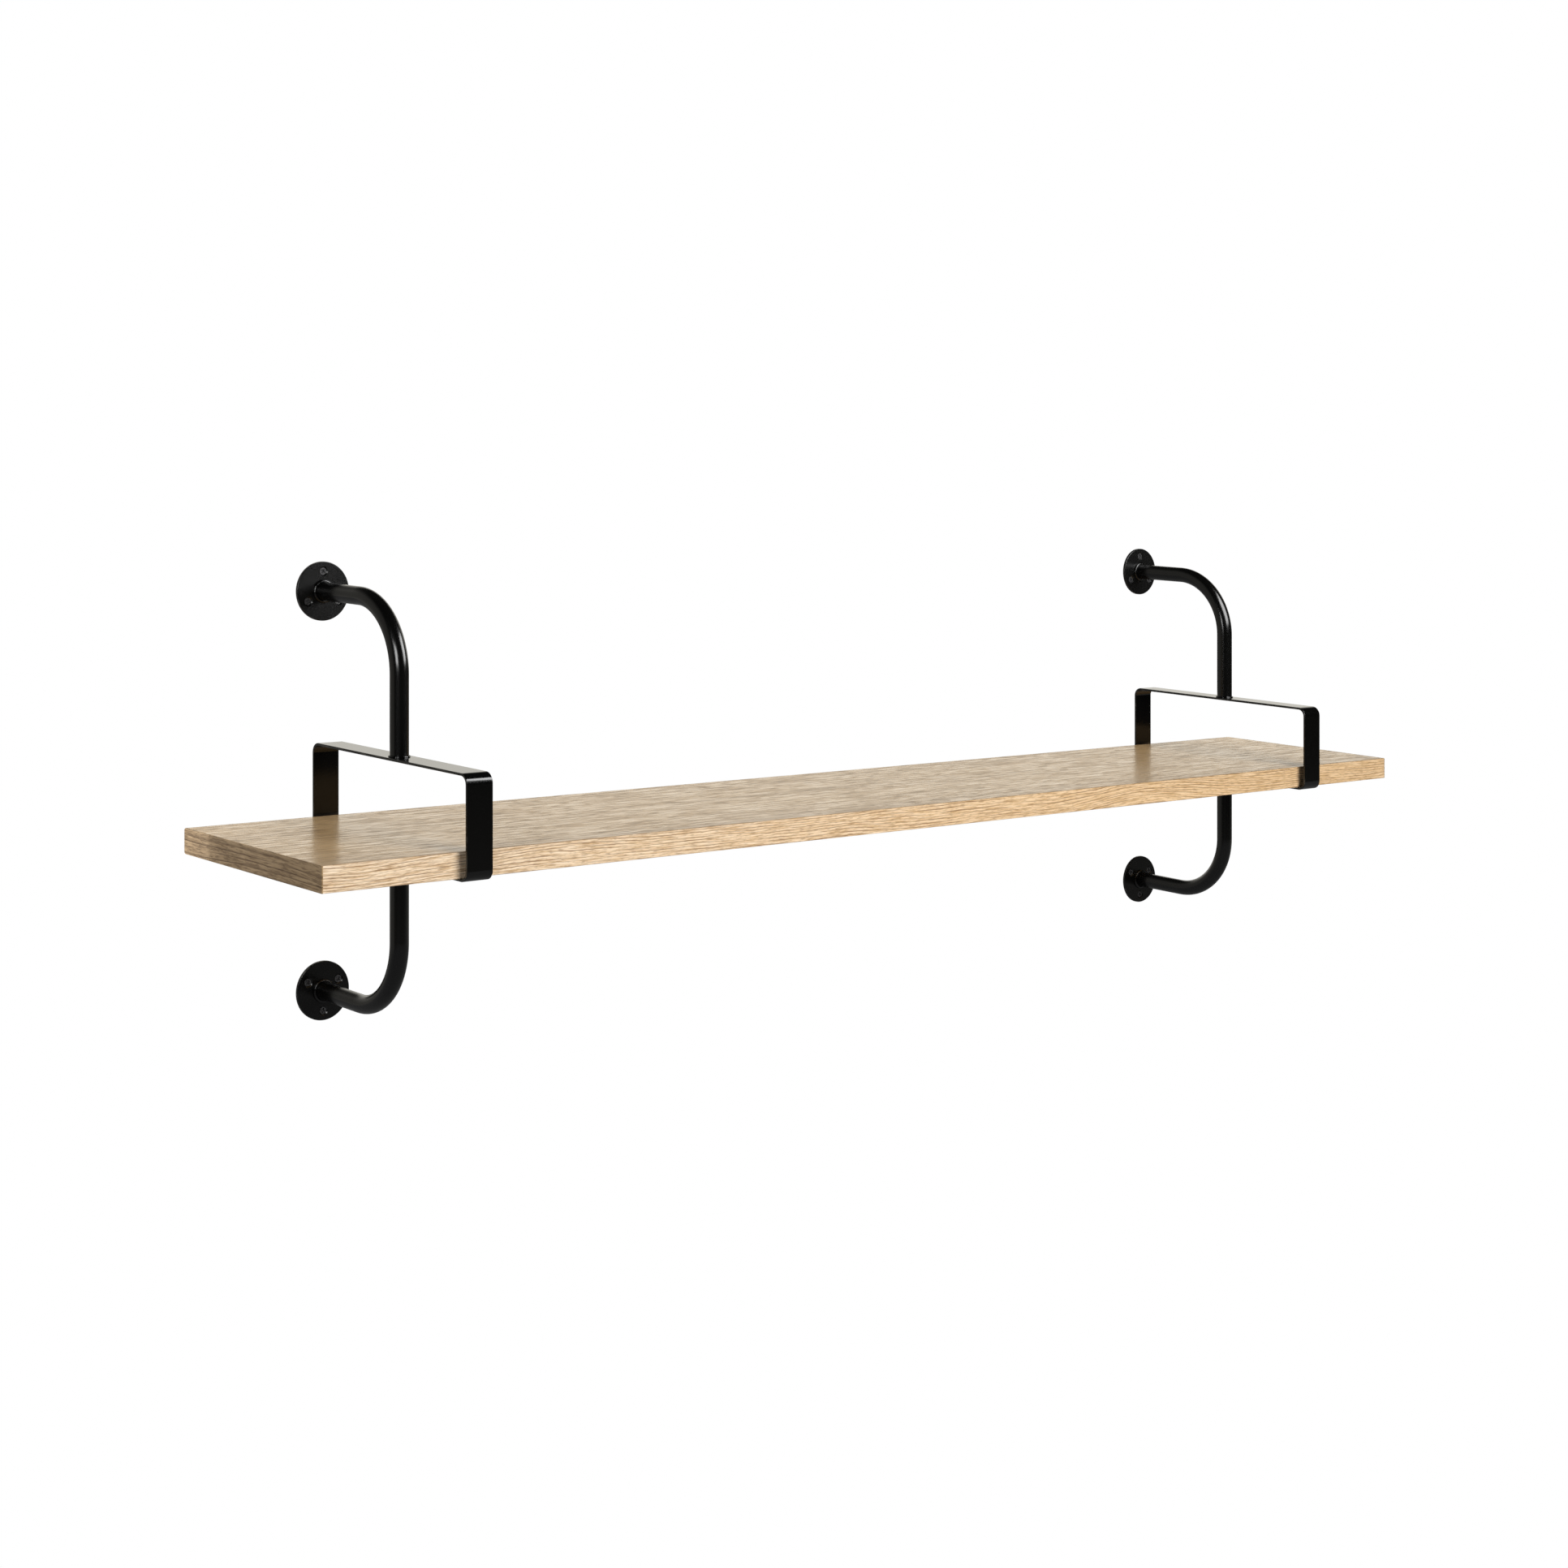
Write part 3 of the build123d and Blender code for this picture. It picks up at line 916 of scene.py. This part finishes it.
closed = roll(tree, grid, angle, radius=radius, height=0.0 - depth)
blocks = [
    tree.node("GeometryNodeMeshCube", None, {"Size": tree.vector(wide, tall, 2.0 * size["Recess Depth"])})
    for wide, tall in (
        (size["Recess Span"], size["Recess Width"]),
        (size["Recess Width"], size["Recess Span"]),
    )
]
cut_sockets = {"Mesh 1": closed, "Mesh 2": blocks}
cut = tree.node("GeometryNodeMeshBoolean", {"operation": "DIFFERENCE", "solver": "EXACT"}, cut_sockets)
smooth = tree.node("GeometryNodeSetShadeSmooth", {"domain": "FACE"}, {"Geometry": cut, "Shade Smooth": True})
corner = tree.node("GeometryNodeInputMeshEdgeAngle") > SHARP_CORNER
edged = {"Geometry": smooth, "Selection": corner, "Shade Smooth": False}
crisp = tree.node("GeometryNodeSetShadeSmooth", {"domain": "EDGE"}, edged)

bearing = size["First Angle"] + tree.node("GeometryNodeInputIndex") * (math.tau / size["Count"])
ring_spot = tree.vector(size["Circle"] * bearing.cosine(), size["Circle"] * bearing.sine(), 0.0)
ring = tree.node("GeometryNodePoints", None, {"Count": size["Count"], "Position": ring_spot})
random_sockets = {"Min_001": 0.0, "Max_001": math.tau, "Seed": size["Seed"]}
number_output = 1
twist = tree.node("FunctionNodeRandomValue", {"data_type": "FLOAT"}, random_sockets, number_output)
facing = tree.node("FunctionNodeEulerToRotation", None, {"Euler": tree.vector(0.0, 0.0, twist)})
copy_sockets = {"Points": ring, "Instance": crisp, "Rotation": facing}
copies = tree.node("GeometryNodeInstanceOnPoints", None, copy_sockets)
close_rule(tree, copies, size)
print("screw rule has", len(screw_rule.nodes), "nodes")

# %% [markdown]
# The wall screws are countersunk, three to a plate, with one of the three farthest from the board. Their
# heads sit a little below the plate's face, so that a dark ring shows round each of them.

# %% Grow the wall screws
FACETS = 20
WALL_SCREW_LENGTH = 0.0396
WALL_SCREW_PITCH = 0.002
HEAD_TOP = -0.0022

cross_recess = {"Recess_Span": 0.0048, "Recess_Width": 0.0013, "Recess_Depth": 0.0015}
wall_screw = {
    "Length": WALL_SCREW_LENGTH,
    "Head_Radius": 0.0036,
    "Head_Height": 0.0004,
    "Domed": 0.0,
    "Neck_Radius": 0.0019,
    "Neck_End": 0.0025,
    "Core_Radius": 0.0015,
    "Thread_Radius": 0.00225,
    "Pitch": WALL_SCREW_PITCH,
    "Tip": 0.006,
    "Facets": FACETS,
    "Rows": round(WALL_SCREW_LENGTH / WALL_SCREW_PITCH * FACETS),
    "Count": 3,
    "Circle": 0.0195,
    "Turn": FACING_ROOM,
}
faces = 0
for number, (side, arm) in enumerate((side, arm) for side in SIDES for arm in ARMS):
    way = ARMS[arm]
    group = grow(
        screw_rule,
        f"{side}_{arm}_wall_screws_detailed",
        black_screw,
        First_Angle=way * math.pi / 2,
        Seed=3 + number,
        Seat=(SIDES[side], HEAD_TOP, way * PLATE_OFFSET),
        **wall_screw,
        **cross_recess,
    )
    faces += hand_over(group)
print("twelve wall screws with", faces, "faces")

# %% [markdown]
# The board screws come up through each strap, two to a strap, with domed heads below. The same rule makes
# them: the head is domed instead of sunk, and two points on a circle are a pair.

# %% Grow the board screws
BOARD_SCREW_PITCH = 0.0016
BOARD_HEAD = 0.0024
BOARD_SCREW_LENGTH = 0.0224

board_screw = {
    "Length": BOARD_SCREW_LENGTH,
    "Head_Radius": 0.0038,
    "Head_Height": BOARD_HEAD,
    "Domed": 1.0,
    "Neck_Radius": 0.002,
    "Neck_End": 0.005,
    "Core_Radius": 0.0014,
    "Thread_Radius": 0.002,
    "Pitch": BOARD_SCREW_PITCH,
    "Tip": 0.005,
    "Facets": FACETS,
    "Rows": round(BOARD_SCREW_LENGTH / BOARD_SCREW_PITCH * FACETS),
    "Count": 2,
    "Circle": 0.075,
    "First_Angle": math.pi / 2,
    "Turn": FACING_DOWN,
}
faces = 0
for number, (side, x) in enumerate(SIDES.items()):
    pair = grow(
        screw_rule,
        f"{side}_board_screws_detailed",
        black_screw,
        Seed=11 + number,
        Seat=(x, TUBE_STANDOFF, -STRAP_HALF_HEIGHT - BOARD_HEAD),
        **board_screw,
        **cross_recess,
    )
    faces += hand_over(pair)
print("four board screws with", faces, "faces")
